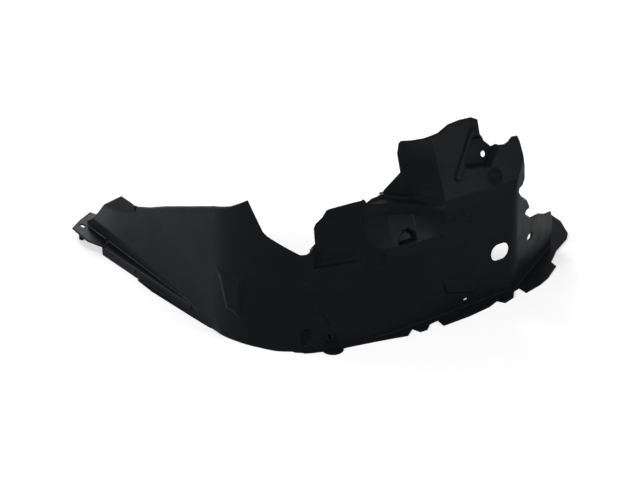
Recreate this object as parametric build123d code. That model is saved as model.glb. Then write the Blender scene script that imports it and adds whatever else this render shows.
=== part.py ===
"""Front wheel-arch splash shield, moulded in one piece from black plastic sheet.

The shield stands on its outer lip: X runs along the car, Y points into the wheel space, Z is inboard.
Its wall is the difference of two wheel spaces, one inset from the other by the sheet's thickness.
A place on a wall is (run, height): run along the wall from a station, height above the lip.
A place in plan is (run, reach): run along the wall from a station, reach out from the wheel space.
"""
import os
from math import atan2, cos, degrees, radians, sin, tan

from build123d import *

# Sheet
WALL = 2.5
DRAFT = 3.0

# Plan of the arch: straight tail, tight crown, long front curve, straight front and a turned end
CROWN_LOW = Vector(-47, 0)
CROWN_RADIUS = 165.0
CROWN_HEADING = 10.0
TAIL_HEADING = -53.0
TAIL_RUN = 500.0
FRONT_RADIUS = 400.0
FRONT_HEADING = 34.0
FRONT_RUN = 236.0
END_RADIUS = 50.0
END_HEADING = 62.0
END_RUN = 190.0

# Extents of the wheel space before it is trimmed, and of the solids that trim it
SPACE_TOP = 345.0
SPACE_FOOT = -10.0
BEYOND = 1500.0

# Twist of the tail: its foot swings out and its top leans back
TAIL_FOOT_OUT = 35.0
TAIL_TOP_BACK = 200.0
TAIL_FOOT_SETBACK = 2.0

# Low ledge along the foot of the tail, with its end tab, slot, lip, peg and pips, in plan from the crown
LEDGE_HEIGHT = 20.0
LEDGE_OUTLINE = [(-344, 16), (1, -2), (-40, -104), (-358, -80)]
LEDGE_ROUND = 1.5
LEDGE_PIPS = [(107, 11), (278, 14)]
TAB_OUTLINE = [(-336, 16), (-377, 28), (-438, 26), (-458, -1), (-476, -33), (-454, -40), (-375, -12)]
TAB_SLOT = (-434, 6)
TAB_SLOT_SIZE = (15, 6.5)
TAIL_LIP = [
    (-226, 8.6), (-222, 13.6), (-173, 14), (-138, 11), (-104, 8), (-70, 5), (-37, 2),
    (-10, -1), (-10, -2.7),
]
PEG_PLACE = (-417, 18)
PEG_RADIUS = 5.5
PEG_FOOT = 2.0

# Ear on the end of the tail's inboard edge, folded upright out of the leaning wall
EAR_PLACE = (-375, -15)
EAR_TURN = 0.9
EAR_WINDOW = [(-40, 60), (104, 60), (104, 150), (-40, 150)]
EAR_DEPTH = 60.0

# Relief beside the strut notch, as (setback, height) across the wall, with a slanted right side
MID_HEADING = 20.0
MID_RUN = (-58.0, 14.0, 36.0)
MID_SECTION = [(7, 141), (12, 147), (19, 148), (22, 152), (24, 232), (9, 262), (7, SPACE_TOP)]
MID_SIDE = [(6, 141), (7, 147), (7.5, 148), (8, 152), (12, 232), (9, 262), (7, SPACE_TOP)]

# Shoulder and brow of the front wall, with two steps that fade out to both sides
SHOULDER_RUN = (-66.0, -12.0, 40.0, 95.0)
SHOULDER_BROW = [
    (7, 140), (10, 165), (24, 220), (17, 246),
    (18, 248), (18.5, 249), (20, 252), (70, SPACE_TOP),
]
SHOULDER_NEAR = [
    (7, 134), (11, 158), (31, 208), (20, 234),
    (43, 234), (44, 239), (57, 239), (69, SPACE_TOP),
]
SHOULDER_MIDDLE = [
    (7, 132), (11, 153), (31, 196), (21, 217),
    (43, 217), (44, 222), (57, 222), (70, SPACE_TOP),
]
SHOULDER_FADE = [
    (6, 132), (7, 152), (9, 176), (10.5, 196),
    (16, 212), (19, 218), (24, 229), (76, SPACE_TOP),
]
PANEL_RUN = (90.0, 380.0)
PANEL_LEAN = 24.3
PANEL_SECTION = [(10, 188), (15, 210), (76, SPACE_TOP)]
RELIEF_FRONT = -70.0
RELIEF_ABOVE = 9.0

# Corner taken out behind the brow, where the steps stop, in plan from the front
STEP_END = [(-61, -21), (-41, -34), (-27, -40), (0, -58), (49, -130), (-37, -188), (-122, -62)]
STEP_END_FOOT = 236.0

# Trimmed edge seen along Y, as (along X, height) from a station of the plan
TAIL_END = [(-222, 0), (-222, 18), (-257, 18), (-257, 30), (-233, 56), (-218, 78)]
EAR_EDGE = [(-199, 98), (-178, 120), (-159, 120)]
TAIL_EDGE = [
    (-145, 118), (-117, 136), (-85, 161), (-55, 183), (-17, 210), (10, 228), (36, 241), (51, 251), (65.427, 261),
]
NOTCH_EDGE = [(-72, 211), (-65, 204), (-18, 176), (-13, 173), (-4, 173), (1, 176)]
MID_SIDE_EDGE = [(-62, 181), (-57, 186), (-59, 214), (-56, 221), (-45, 231), (-39, 245)]
BROW_EDGE = [(-34, 247), (1, 253), (20, 254), (34, 245), (55, 238)]
BLOCK_SIDE = [(-5, 259), (-11, 293), (-9, 309)]
BLOCK_EDGE = [(-5, 312), (14, 309), (33, 308), (57, 311), (74, 319), (94, 321), (115, 320)]
POCKET_EDGE = [(127, 314), (131, 292), (140, 273), (152, 262)]
PANEL_EDGE = [(160, 269), (167, 267), (174, 266), (181, 268), (188, 274), (199, 273), (204, 263)]
PANEL_SIDE = [(210, 243), (214, 222), (216, 196), (212, 188)]
END_EDGE = [(-7, 188), (-8, 181), (-2, 168), (13, 147), (20, 129), (11, 131), (10, 124), (23, 106)]
END_TOP = [(42, 96), (58, 81), (75, 71), (80, 50), (80, 0)]
FOOT_EDGE = [(-52, 0), (-80, 2.5), (-118, 3.2), (-150, 2), (-175, 0)]
EDGE_ROUND = 1.5

# Flange that lies along the lip in front of the wall, and the small tab at the crown, in plan
FRONT_FLANGE = [
    (-183, -42), (-174, -35), (-173, -32), (-162, -26), (-143, -19), (-114, -10), (-83, -3), (-55, 4),
    (-28, 11), (0, 19), (19, 6), (24, 21), (38, 22), (53, 10), (71, 8), (69, 27),
    (125, 27), (173, 22), (196, 14), (204, 27), (228, 21), (243, 5), (257, 2), (257, 21),
]
END_FLANGE = [
    (23, 34), (52, 38), (99, 36), (109, 23), (157, 16), (211, 17), (230, 12), (271, -17),
    (290, -45), (276, -60), (250, -69), (166, -40),
]
FLANGE_STOP = 166.0
CROWN_TAB = (13, 3)
CROWN_TAB_RADIUS = 18.0

# Form of the pads and pockets
PAD_SLOPE = 20.0
SOFT_SLOPE = 62.0
PAD_ROOT = 12.0
PAD_CORNER = 6.0

# Pads that stand out of the wall, each outline about its own place
LEFT_PAD_HEADING = -37.0
LEFT_PAD_PLACE = (0, 88)
LEFT_PAD = [(-28, 30), (22, 36), (18, -38), (-12, -30)]
LEFT_PAD_RISE = 3.0
RIB_HEADING = 16.4
RIB_PLACE = (-11, 109)
RIB_SIZE = (76, 18)
RIB_RISE = 1.5
FRONT_PAD_PLACE = (120, 47)
FRONT_PAD = [(-33, 23), (38, 5), (38, -23), (-26, -5)]
FRONT_PAD_RISE = 3.5
BEAD_PLACE = (154, 269)
BEAD_SIZE = (96, 13)
BEAD_TURN = 53.0
BEAD_RISE = 4.0
CROWN_PIPS = [(-13, 72), (-27, 121)]
FRONT_PIPS = [(114, 174), (136, 176), (149, 160), (88, 152)]
PIP_RADIUS = 4.5
PIP_TOP_RADIUS = 2.5
PIP_RISE = 2.5
PIP_ROOT = 1.5

# Boss with a blind slot, and a short groove, at the foot of the crown
CLIP_HEADING = 13.8
BOSS_PLACE = (8, 23)
BOSS_RADIUS = 8.0
BOSS_RISE = 3.0
BOSS_SLOT = (11, 4)
BOSS_SLOT_TURN = -65.0
GROOVE_PLACE = (4, 52)
GROOVE_SIZE = (27, 4)
GROOVE_TURN = -62.0
GROOVE_DEPTH = 1.2

# Pockets sunk into the wall
OVAL_PLACE = (-4, 25)
OVAL_SIZE = (32, 18)
OVAL_TURN = 85.0
OVAL_DEPTH = 6.0
DENT_PLACE = (-37, 141)
DENT_SIZE = (28, 19)
DENT_TURN = 80.0
DENT_DEPTH = 4.0
TEAR_PLACE = (17, 165)
TEAR_OUTLINE = [(-22, -9), (20, -10), (20, 4), (8, 13), (-5, 11)]
TEAR_SETBACK = 17.0
TEAR_DEPTH = 9.0
POCKET_PLACE = (181, 264)
POCKET_OUTLINE = [(-8, 30), (-34, -10), (-26, -20), (22, -24), (44, 6), (36, 30)]
POCKET_CORNER = 4.0
POCKET_TURN = 6.0
POCKET_DEPTH = 14.0
DIMPLE_PLACE = (205, 223)
DIMPLE_RADIUS = 24.0
DIMPLE_DEPTH = 6.0

# Holes
FASTENER_RADIUS = 5.5
POCKET_HOLE = (22, -3)
END_SLOT = (60, 71)
END_SLOT_SIZE = (24, 11)
ACCESS_HOLE = (213, 84)
ACCESS_SIZE = (40, 31)
DRAIN_SLOT = (138, 16)
DRAIN_SIZE = (9, 4)
DRILL_LENGTH = 30.0

ON_BASE = (Align.CENTER, Align.CENTER, Align.MIN)


def unit(heading):
    """Direction of a heading, turning left from +X."""
    return Vector(cos(radians(heading)), sin(radians(heading)))


def ahead(start, heading, run):
    return start + unit(heading) * run


def inside(start, heading, setback):
    """Point moved off the wall into the wheel space."""
    return start + unit(heading + 90) * setback


def turn(start, heading_in, heading_out, radius):
    """End of an arc that leaves start along one heading and ends along another."""
    centre = inside(start, heading_in, radius)
    return inside(centre, heading_out, -radius)


crown_in = turn(CROWN_LOW, 0, TAIL_HEADING, CROWN_RADIUS)
crown_out = turn(CROWN_LOW, 0, CROWN_HEADING, CROWN_RADIUS)
left_pad_station = turn(CROWN_LOW, 0, LEFT_PAD_HEADING, CROWN_RADIUS)
clip_station = turn(crown_out, CROWN_HEADING, CLIP_HEADING, FRONT_RADIUS)
rib_station = turn(crown_out, CROWN_HEADING, RIB_HEADING, FRONT_RADIUS)
mid_station = turn(crown_out, CROWN_HEADING, MID_HEADING, FRONT_RADIUS)
front_in = turn(crown_out, CROWN_HEADING, FRONT_HEADING, FRONT_RADIUS)
front_out = ahead(front_in, FRONT_HEADING, FRONT_RUN)
end_in = turn(front_out, FRONT_HEADING, END_HEADING, END_RADIUS)
end_out = ahead(end_in, END_HEADING, END_RUN)
tail_out = ahead(crown_in, TAIL_HEADING, -TAIL_RUN)


def in_plan(station, heading, places):
    """Plan points of places given as (run, reach) about a station."""
    return [inside(ahead(station, heading, run), heading, -reach) for run, reach in places]


def by_tail(*places):
    return in_plan(crown_in, TAIL_HEADING, places)


def face_plane(start, heading, place, setback, lean):
    """Plane on a wall: x along the run, y up the wall, z out towards the body."""
    run, height = place
    origin = inside(ahead(start, heading, run), heading, setback)
    outward = unit(heading - 90) * cos(radians(lean)) + Vector(0, 0, sin(radians(lean)))
    return Plane(origin=(origin.X, origin.Y, height), x_dir=unit(heading), z_dir=outward)


def wall_plane(start, heading, place):
    """Plane on the plain drafted wall."""
    setback = (place[1] - SPACE_FOOT) * tan(radians(DRAFT))
    return face_plane(start, heading, place, setback, DRAFT)


def front_plane(place):
    return wall_plane(front_in, FRONT_HEADING, place)


def panel_plane(place):
    """Plane on the leaning panel of the front wall."""
    foot_setback, foot_height = PANEL_SECTION[1]
    setback = foot_setback + (place[1] - foot_height) * tan(radians(PANEL_LEAN))
    return face_plane(front_in, FRONT_HEADING, place, setback, PANEL_LEAN)


def pocket_plane():
    """Plane of the fastening pocket, turned towards the shield's end."""
    return panel_plane(POCKET_PLACE).rotated((0, POCKET_TURN, 0))


def clip_plane(place):
    return wall_plane(clip_station, CLIP_HEADING, place)


def section_plane(start, heading, run):
    """Plane across a wall: x into the wheel space, y up, z along the run."""
    return Plane(origin=ahead(start, heading, run), x_dir=unit(heading + 90), z_dir=unit(heading))


def polygon(points, corner=0.0):
    face = make_face(Polyline(*points, close=True)).face()
    if corner:
        face = fillet(face.vertices(), corner).face()
    return face


def resized(face, amount):
    """Face grown or shrunk evenly, with its corners kept."""
    if amount == 0:
        return face
    return offset(face, amount, kind=Kind.INTERSECTION).face()


def slot(size, angle):
    return (Rot(0, 0, angle) * SlotOverall(*size)).face()


def plan_face(setback, tail_setback, height):
    """Plan of the wheel space at one height, with the tail's end set back by its own amount."""
    a = inside(crown_in, TAIL_HEADING, setback)
    b = inside(crown_out, CROWN_HEADING, setback)
    c = inside(front_in, FRONT_HEADING, setback)
    d = inside(front_out, FRONT_HEADING, setback)
    e = inside(end_in, END_HEADING, setback)
    f = inside(end_out, END_HEADING, setback)
    tail = inside(tail_out, TAIL_HEADING, tail_setback)
    edges = [
        TangentArc(a, tail, tangent=-unit(TAIL_HEADING)),
        TangentArc(a, b, tangent=unit(TAIL_HEADING)),
        TangentArc(b, c, tangent=unit(CROWN_HEADING)),
        Line(c, d),
        TangentArc(d, e, tangent=unit(FRONT_HEADING)),
        Line(e, f),
        Polyline(f, (f.X, BEYOND), (tail.X, BEYOND), tail),
    ]
    return Pos(0, 0, height) * make_face(edges).face()


def barrel(inset):
    """Wheel space behind the plain arch, with draft and the twisted tail."""
    lean = (SPACE_TOP - SPACE_FOOT) * tan(radians(DRAFT))
    low = plan_face(inset, inset - TAIL_FOOT_OUT, SPACE_FOOT)
    high = plan_face(inset + lean, inset + TAIL_TOP_BACK, SPACE_TOP)
    return Solid.make_loft([low.outer_wire(), high.outer_wire()], ruled=True)


def behind_tail_foot(inset):
    """Everything behind the upright foot of the tail."""
    plane = face_plane(crown_in, TAIL_HEADING, (0, 0), inset + TAIL_FOOT_SETBACK, 0)
    return extrude(plane * Rectangle(2 * BEYOND, BEYOND), amount=-BEYOND)


def relief(start, heading, runs, outlines, grow):
    """Space in front of a stepped stretch of wall, ruled through sections across it."""
    top = SPACE_TOP + RELIEF_ABOVE
    end_shift = {runs[0]: -grow, runs[-1]: grow}
    wires = []
    for run, outline in zip(runs, outlines):
        above = [(outline[-1][0], top), (RELIEF_FRONT, top), (RELIEF_FRONT, outline[0][1])]
        face = resized(polygon(outline + above), grow)
        plane = section_plane(start, heading, run + end_shift.get(run, 0))
        wires.append((plane * face).outer_wire())
    return Solid.make_loft(wires, ruled=True)


def mid_relief(grow):
    return relief(mid_station, MID_HEADING, MID_RUN, [MID_SECTION, MID_SECTION, MID_SIDE], grow)


def shoulder_relief(grow):
    outlines = [SHOULDER_BROW, SHOULDER_NEAR, SHOULDER_MIDDLE, SHOULDER_FADE]
    return relief(front_in, FRONT_HEADING, SHOULDER_RUN, outlines, grow)


def panel_relief(grow):
    return relief(front_in, FRONT_HEADING, PANEL_RUN, [PANEL_SECTION, PANEL_SECTION], grow)


def ledge(inset):
    """Low step along the foot of the tail, with its long top edge rounded."""
    outline = by_tail(*LEDGE_OUTLINE)
    face = Pos(0, 0, SPACE_FOOT) * resized(polygon(outline), -inset)
    step = extrude(face, amount=LEDGE_HEIGHT - inset - SPACE_FOOT)
    middle = (outline[0] + outline[1]) / 2
    crest = step.edges().sort_by_distance((middle.X, middle.Y, LEDGE_HEIGHT))[0]
    return fillet(crest, LEDGE_ROUND + WALL - inset)


def ear(inset):
    """Space behind the upright ear at the tail's end."""
    start = by_tail(EAR_PLACE)[0]
    plane = face_plane(start, TAIL_HEADING + EAR_TURN, (0, 0), inset, 0)
    return extrude(plane * resized(polygon(EAR_WINDOW), -inset), amount=-EAR_DEPTH)


def raised(plane, face, rise, angle, inset):
    """Pad that stands out of a wall on sloping sides."""
    slope = radians(angle)
    base = resized(face, PAD_ROOT * tan(slope) - inset / cos(slope))
    return extrude(plane.offset(-PAD_ROOT) * base, amount=PAD_ROOT + rise - inset, taper=angle)


def sunk(plane, face, depth, grow):
    """Space of a pocket in a wall, with sloping sides."""
    slope = radians(PAD_SLOPE)
    mouth = resized(face, PAD_ROOT * tan(slope) + grow / cos(slope))
    return extrude(plane.offset(PAD_ROOT) * mouth, amount=-(PAD_ROOT + depth + grow), taper=PAD_SLOPE)


def pads(inset):
    left_plane = wall_plane(left_pad_station, LEFT_PAD_HEADING, LEFT_PAD_PLACE)
    rib_plane = wall_plane(rib_station, RIB_HEADING, RIB_PLACE)
    front_pad = polygon(FRONT_PAD, PAD_CORNER)
    return [
        raised(left_plane, polygon(LEFT_PAD), LEFT_PAD_RISE, SOFT_SLOPE, inset),
        raised(rib_plane, Rectangle(*RIB_SIZE).face(), RIB_RISE, SOFT_SLOPE, inset),
        raised(front_plane(FRONT_PAD_PLACE), front_pad, FRONT_PAD_RISE, PAD_SLOPE, inset),
        raised(panel_plane(BEAD_PLACE), slot(BEAD_SIZE, BEAD_TURN), BEAD_RISE, PAD_SLOPE, inset),
    ]


def pockets(grow):
    oval_plane = wall_plane(crown_out, CROWN_HEADING, OVAL_PLACE)
    tear_plane = face_plane(front_in, FRONT_HEADING, TEAR_PLACE, TEAR_SETBACK, PANEL_LEAN)
    dimple_plane = panel_plane(DIMPLE_PLACE).offset(DIMPLE_RADIUS - DIMPLE_DEPTH)
    return [
        sunk(oval_plane, slot(OVAL_SIZE, OVAL_TURN), OVAL_DEPTH, grow),
        sunk(front_plane(DENT_PLACE), slot(DENT_SIZE, DENT_TURN), DENT_DEPTH, grow),
        sunk(tear_plane, polygon(TEAR_OUTLINE, POCKET_CORNER), TEAR_DEPTH, grow),
        sunk(pocket_plane(), polygon(POCKET_OUTLINE, POCKET_CORNER), POCKET_DEPTH, grow),
        dimple_plane * Sphere(DIMPLE_RADIUS + grow),
    ]


def wheel_space(inset):
    """Space on the wheel side of the sheet, inset from its outer face."""
    space = barrel(inset) & behind_tail_foot(inset)
    space -= mid_relief(inset)
    space -= shoulder_relief(inset)
    space -= panel_relief(inset)
    space += ledge(inset)
    space += ear(inset)
    space += pads(inset)
    space -= pockets(inset)
    return space


def seen(station, places):
    """Points of the trimmed edge as seen along Y."""
    return [(station.X + along, height) for along, height in places]


def edge_outline():
    """Region inside the trimmed edge, as a solid along Y."""
    points = seen(crown_in, TAIL_END + EAR_EDGE + TAIL_EDGE)
    points += seen(crown_out, NOTCH_EDGE)
    points += seen(mid_station, MID_SIDE_EDGE + BROW_EDGE)
    points += seen(front_in, BLOCK_SIDE + BLOCK_EDGE + POCKET_EDGE + PANEL_EDGE + PANEL_SIDE)
    points += seen(end_in, END_EDGE + END_TOP)
    points += seen(crown_out, FOOT_EDGE)
    return extrude(Plane.XZ * polygon(points, EDGE_ROUND), amount=BEYOND, both=True)


def step_end():
    """Corner behind the brow, left of where the two steps stop."""
    corner = polygon(in_plan(front_in, FRONT_HEADING, STEP_END))
    return extrude(Pos(0, 0, STEP_END_FOOT) * corner, amount=BEYOND)


def flange():
    """Flat flange along the lip in front of the wall, from the crown to the shield's end."""
    setback = WALL / 2
    a = inside(CROWN_LOW, 0, setback)
    b = inside(crown_out, CROWN_HEADING, setback)
    c = inside(front_in, FRONT_HEADING, setback)
    d = inside(front_out, FRONT_HEADING, setback)
    e = inside(end_in, END_HEADING, setback)
    f = ahead(e, END_HEADING, FLANGE_STOP)
    behind_wall = [
        TangentArc(a, b, tangent=unit(0)),
        TangentArc(b, c, tangent=unit(CROWN_HEADING)),
        Line(c, d),
        TangentArc(d, e, tangent=unit(FRONT_HEADING)),
        Line(e, f),
        Line(f, a),
    ]
    front_rim = in_plan(front_in, FRONT_HEADING, FRONT_FLANGE)
    end_rim = in_plan(end_in, END_HEADING, END_FLANGE)
    face = polygon([a, *front_rim, *end_rim, f]) - make_face(behind_wall)
    return extrude(face, amount=WALL)


def crown_tab():
    """Small round tab at the crown's lip, in front of the wall."""
    centre = in_plan(clip_station, CLIP_HEADING, [CROWN_TAB])[0]
    disc = Pos(centre.X, centre.Y) * Cylinder(CROWN_TAB_RADIUS, WALL, align=ON_BASE)
    return disc - barrel(WALL)


def tail_lip():
    """Narrow lip that lies along the foot of the ledge."""
    return extrude(polygon(by_tail(*TAIL_LIP)), amount=WALL)


def tail_tab():
    """Tab beyond the ledge, with its slot and the locating peg under it."""
    tab_foot = LEDGE_HEIGHT - WALL
    tab = extrude(Pos(0, 0, tab_foot) * polygon(by_tail(*TAB_OUTLINE)), amount=WALL)
    hole = by_tail(TAB_SLOT)[0]
    tab -= Pos(hole.X, hole.Y, tab_foot) * extrude(slot(TAB_SLOT_SIZE, TAIL_HEADING), amount=WALL)
    foot = by_tail(PEG_PLACE)[0]
    peg_length = tab_foot + WALL / 2 - PEG_FOOT
    peg = Pos(foot.X, foot.Y, PEG_FOOT) * Cylinder(PEG_RADIUS, peg_length, align=ON_BASE)
    peg = chamfer(peg.edges().sort_by(Axis.Z)[0], PEG_RADIUS / 3)
    return tab + peg


def pip(plane):
    """Small pip on a wall, narrower at its end."""
    return plane.offset(-PIP_ROOT) * Cone(PIP_RADIUS, PIP_TOP_RADIUS, PIP_RISE + PIP_ROOT, align=ON_BASE)


def pips():
    ledge_start, ledge_end = by_tail(*LEDGE_OUTLINE[:2])
    along = ledge_end - ledge_start
    ledge_heading = degrees(atan2(along.Y, along.X))
    planes = [face_plane(ledge_start, ledge_heading, place, 0, 0) for place in LEDGE_PIPS]
    planes += [clip_plane(place) for place in CROWN_PIPS]
    planes += [front_plane(place) for place in FRONT_PIPS]
    return [pip(plane) for plane in planes]


def boss():
    """Round boss with a blind slot, at the foot of the crown."""
    plane = clip_plane(BOSS_PLACE)
    body = plane.offset(-PIP_ROOT) * Cylinder(BOSS_RADIUS, BOSS_RISE + PIP_ROOT, align=ON_BASE)
    return body - extrude(plane * slot(BOSS_SLOT, BOSS_SLOT_TURN), amount=BOSS_RISE)


def groove():
    """Short slanting groove above the boss."""
    face = clip_plane(GROOVE_PLACE) * slot(GROOVE_SIZE, GROOVE_TURN)
    return extrude(face, amount=GROOVE_DEPTH, both=True)


def holes():
    """Everything drilled or cut through the sheet."""
    pocket_floor = pocket_plane().offset(-POCKET_DEPTH) * Pos(*POCKET_HOLE)
    slots = [
        (front_plane(ACCESS_HOLE), ACCESS_SIZE),
        (front_plane(DRAIN_SLOT), DRAIN_SIZE),
        (wall_plane(end_in, END_HEADING, END_SLOT), END_SLOT_SIZE),
    ]
    cuts = [extrude(plane * slot(size, 0), amount=DRILL_LENGTH, both=True) for plane, size in slots]
    return [pocket_floor * Cylinder(FASTENER_RADIUS, DRILL_LENGTH), *cuts]


def splash_shield():
    sheet = wheel_space(0) - wheel_space(WALL)
    shield = (sheet & edge_outline()) - step_end()
    shield += [flange(), crown_tab(), tail_lip(), tail_tab(), boss(), *pips()]
    shield -= [groove(), *holes()]
    return shield


def main():
    shield = splash_shield()
    box = shield.bounding_box()
    shield = Pos(-box.center().X, -box.center().Y, -box.min.Z) * shield
    shield.label = "splash_shield"
    os.makedirs("parts", exist_ok=True)
    export_step(shield, "parts/splash_shield.step")


if __name__ == "__main__":
    main()
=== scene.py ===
"""Studio scene of a moulded black plastic splash shield, standing on its lip on a pale floor.

Metres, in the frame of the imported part: +X along the car, +Y into the wheel space, +Z up from the lip.
"""
from math import cos, radians, sin

import bpy
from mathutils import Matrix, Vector


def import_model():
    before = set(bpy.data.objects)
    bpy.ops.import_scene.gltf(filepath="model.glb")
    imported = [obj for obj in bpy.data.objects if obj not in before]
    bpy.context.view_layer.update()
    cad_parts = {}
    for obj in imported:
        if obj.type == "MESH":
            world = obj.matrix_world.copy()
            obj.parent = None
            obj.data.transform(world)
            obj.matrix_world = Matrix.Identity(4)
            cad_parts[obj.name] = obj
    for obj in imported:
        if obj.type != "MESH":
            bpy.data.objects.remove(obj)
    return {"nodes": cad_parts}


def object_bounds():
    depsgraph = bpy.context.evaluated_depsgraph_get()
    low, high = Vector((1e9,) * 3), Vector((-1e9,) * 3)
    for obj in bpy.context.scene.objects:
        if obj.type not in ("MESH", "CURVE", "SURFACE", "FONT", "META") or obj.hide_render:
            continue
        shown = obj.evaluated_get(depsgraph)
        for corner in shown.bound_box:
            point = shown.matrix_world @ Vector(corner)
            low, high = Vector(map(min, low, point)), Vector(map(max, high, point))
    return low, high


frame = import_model()
cad_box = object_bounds()

# Camera at the photograph's view
CAMERA_TARGET = Vector((-0.0016, -0.0491, 0.105))
CAMERA_ELEVATION = 28.0
CAMERA_DISTANCE = 2.5
CAMERA_LENS = 82.0
CAMERA_SENSOR = 36.0

# Floor, with a glow that rises with the distance from the shield, as the lamps fall off
FLOOR_COLOR = (0.80, 0.80, 0.80)
FLOOR_ROUGHNESS = 0.9
FLOOR_GLOW_NEAR = 0.34
FLOOR_GLOW_FAR = 0.95
FLOOR_GLOW_FROM = 0.7
FLOOR_GLOW_TO = 3.2
FLOOR_SIZE = 14.0

# Lamps: place, size in metres, power in watts; each looks at the shield
LAMPS = {
    "left_low": ((-3.3, 0.95, 0.42), 0.8, 74.0),
    "back_left": ((-0.9, 2.6, 1.5), 1.6, 58.0),
    "front_left": ((-2.0, -2.3, 1.4), 1.0, 66.0),
    "right_front": ((2.8, -1.5, 0.9), 0.6, 46.0),
    "top_front": ((0.2, -0.9, 2.9), 1.0, 26.0),
}
LAMP_AIM = Vector((-0.1, 0.0, 0.1))
WORLD_GLOW = 0.15

# Black polypropylene; a noise is its scale and detail
PLASTIC_DARK = (0.0040, 0.0043, 0.0052, 1.0)
PLASTIC_PALE = (0.0066, 0.0071, 0.0084, 1.0)
PLASTIC_SPECULAR = 0.020
PLASTIC_IOR = 1.49
TONE_NOISE = (14.0, 5.0)
GLOSS_NOISE = (30.0, 6.0)
GLOSS_SPAN = (0.3, 0.7)
ROUGH_SMOOTH = 0.28
ROUGH_DULL = 0.42
GRAIN_NOISE = (900.0, 2.0)
GRAIN_HEIGHT = 0.00006
WARP_NOISE = (9.0, 1.0)
WARP_HEIGHT = 0.0030
EDGE_RADIUS = 0.0045
EDGE_SAMPLES = 8


def add_object(name, data):
    obj = bpy.data.objects.new(name, data)
    bpy.context.scene.collection.objects.link(obj)
    return obj


def aim(obj, place, target):
    """Put a lamp or camera at a place, looking at a target."""
    obj.location = place
    obj.rotation_euler = (target - Vector(place)).to_track_quat("-Z", "Y").to_euler()


def camera():
    data = bpy.data.cameras.new("camera")
    data.lens = CAMERA_LENS
    data.sensor_width = CAMERA_SENSOR
    obj = add_object("camera", data)
    elevation = radians(CAMERA_ELEVATION)
    back = Vector((0, -cos(elevation), sin(elevation)))
    aim(obj, CAMERA_TARGET + back * CAMERA_DISTANCE, CAMERA_TARGET)
    bpy.context.scene.camera = obj


def lamps():
    for name, (place, size, power) in LAMPS.items():
        data = bpy.data.lights.new(name, "AREA")
        data.size = size
        data.energy = power
        aim(add_object(name, data), place, LAMP_AIM)


def seen_white(nodes, links):
    """1 for rays of the camera, of reflections and through clear things, else 0."""
    path = nodes.new("ShaderNodeLightPath")
    total = path.outputs["Is Camera Ray"]
    for ray in ("Is Glossy Ray", "Is Transmission Ray"):
        either = nodes.new("ShaderNodeMath")
        either.operation = "MAXIMUM"
        links.new(total, either.inputs[0])
        links.new(path.outputs[ray], either.inputs[1])
        total = either.outputs[0]
    return total


def world():
    """White to the eye, with a soft even light."""
    data = bpy.data.worlds.new("studio")
    data.use_nodes = True
    nodes, links = data.node_tree.nodes, data.node_tree.links
    strength = nodes.new("ShaderNodeMapRange")
    strength.inputs["To Min"].default_value = WORLD_GLOW
    strength.inputs["To Max"].default_value = 1.0
    links.new(seen_white(nodes, links), strength.inputs["Value"])
    links.new(strength.outputs["Result"], nodes["Background"].inputs["Strength"])
    nodes["Background"].inputs["Color"].default_value = (1, 1, 1, 1)
    bpy.context.scene.world = data


def new_material(name):
    material = bpy.data.materials.new(name)
    material.use_nodes = True
    tree = material.node_tree
    return material, tree.nodes, tree.links, tree.nodes["Principled BSDF"]


def floor():
    """Pale floor that reads as white away from the shield's shadow."""
    material, nodes, links, shader = new_material("pale_floor")
    shader.inputs["Base Color"].default_value = (*FLOOR_COLOR, 1)
    shader.inputs["Roughness"].default_value = FLOOR_ROUGHNESS
    shader.inputs["Specular IOR Level"].default_value = 0.0
    shader.inputs["Emission Color"].default_value = (1, 1, 1, 1)
    coords = nodes.new("ShaderNodeTexCoord")
    away = nodes.new("ShaderNodeVectorMath")
    away.operation = "LENGTH"
    links.new(coords.outputs["Object"], away.inputs[0])
    glow = nodes.new("ShaderNodeMapRange")
    glow.inputs["From Min"].default_value = FLOOR_GLOW_FROM
    glow.inputs["From Max"].default_value = FLOOR_GLOW_TO
    glow.inputs["To Min"].default_value = FLOOR_GLOW_NEAR
    glow.inputs["To Max"].default_value = FLOOR_GLOW_FAR
    links.new(away.outputs["Value"], glow.inputs["Value"])
    shown = nodes.new("ShaderNodeMath")
    shown.operation = "MULTIPLY"
    links.new(seen_white(nodes, links), shown.inputs[0])
    links.new(glow.outputs["Result"], shown.inputs[1])
    links.new(shown.outputs[0], shader.inputs["Emission Strength"])
    half = FLOOR_SIZE / 2
    mesh = bpy.data.meshes.new("floor")
    corners = [(-half, -half, 0), (half, -half, 0), (half, half, 0), (-half, half, 0)]
    mesh.from_pydata(corners, [], [(0, 1, 2, 3)])
    mesh.materials.append(material)
    obj = add_object("floor", mesh)
    obj.location.z = cad_box[0][2]


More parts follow.
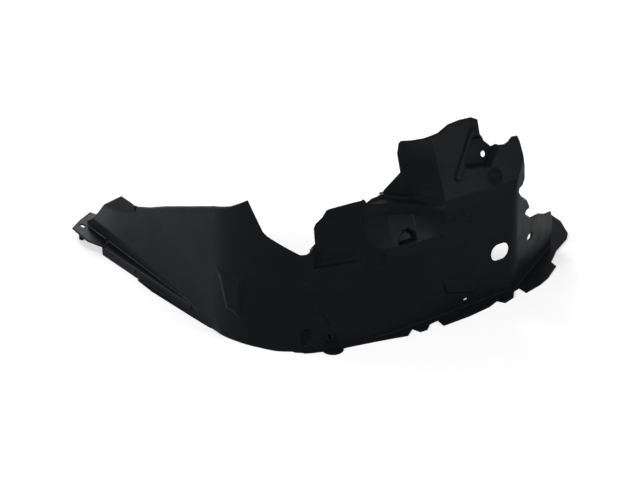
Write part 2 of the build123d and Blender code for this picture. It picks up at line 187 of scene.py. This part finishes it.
def noise(nodes, links, scale, detail):
    """Solid noise in the part's own coordinates."""
    texture = nodes.new("ShaderNodeTexNoise")
    texture.inputs["Scale"].default_value = scale
    texture.inputs["Detail"].default_value = detail
    coords = nodes.new("ShaderNodeTexCoord")
    links.new(coords.outputs["Object"], texture.inputs["Vector"])
    return texture.outputs["Fac"]


def black_plastic():
    """Satin black moulded plastic: uneven gloss, fine grain, slight warp and softened edges."""
    material, nodes, links, shader = new_material("black_plastic")
    shader.inputs["Specular IOR Level"].default_value = PLASTIC_SPECULAR
    shader.inputs["IOR"].default_value = PLASTIC_IOR

    tone = nodes.new("ShaderNodeMix")
    tone.data_type = "RGBA"
    tone.inputs["A"].default_value = PLASTIC_DARK
    tone.inputs["B"].default_value = PLASTIC_PALE
    links.new(noise(nodes, links, *TONE_NOISE), tone.inputs["Factor"])
    links.new(tone.outputs["Result"], shader.inputs["Base Color"])

    gloss = nodes.new("ShaderNodeMapRange")
    gloss.inputs["From Min"].default_value = GLOSS_SPAN[0]
    gloss.inputs["From Max"].default_value = GLOSS_SPAN[1]
    gloss.inputs["To Min"].default_value = ROUGH_SMOOTH
    gloss.inputs["To Max"].default_value = ROUGH_DULL
    links.new(noise(nodes, links, *GLOSS_NOISE), gloss.inputs["Value"])
    links.new(gloss.outputs["Result"], shader.inputs["Roughness"])

    edge = nodes.new("ShaderNodeBevel")
    edge.samples = EDGE_SAMPLES
    edge.inputs["Radius"].default_value = EDGE_RADIUS
    normal = edge.outputs["Normal"]
    for pattern, height in ((WARP_NOISE, WARP_HEIGHT), (GRAIN_NOISE, GRAIN_HEIGHT)):
        bump = nodes.new("ShaderNodeBump")
        bump.inputs["Distance"].default_value = height
        links.new(noise(nodes, links, *pattern), bump.inputs["Height"])
        links.new(normal, bump.inputs["Normal"])
        normal = bump.outputs["Normal"]
    links.new(normal, shader.inputs["Normal"])
    return material


def dress_shield():
    shield = frame["nodes"]["splash_shield"]
    shield.data.materials.clear()
    shield.data.materials.append(black_plastic())


camera()
lamps()
world()
floor()
dress_shield()
bpy.context.scene.view_settings.view_transform = "Standard"
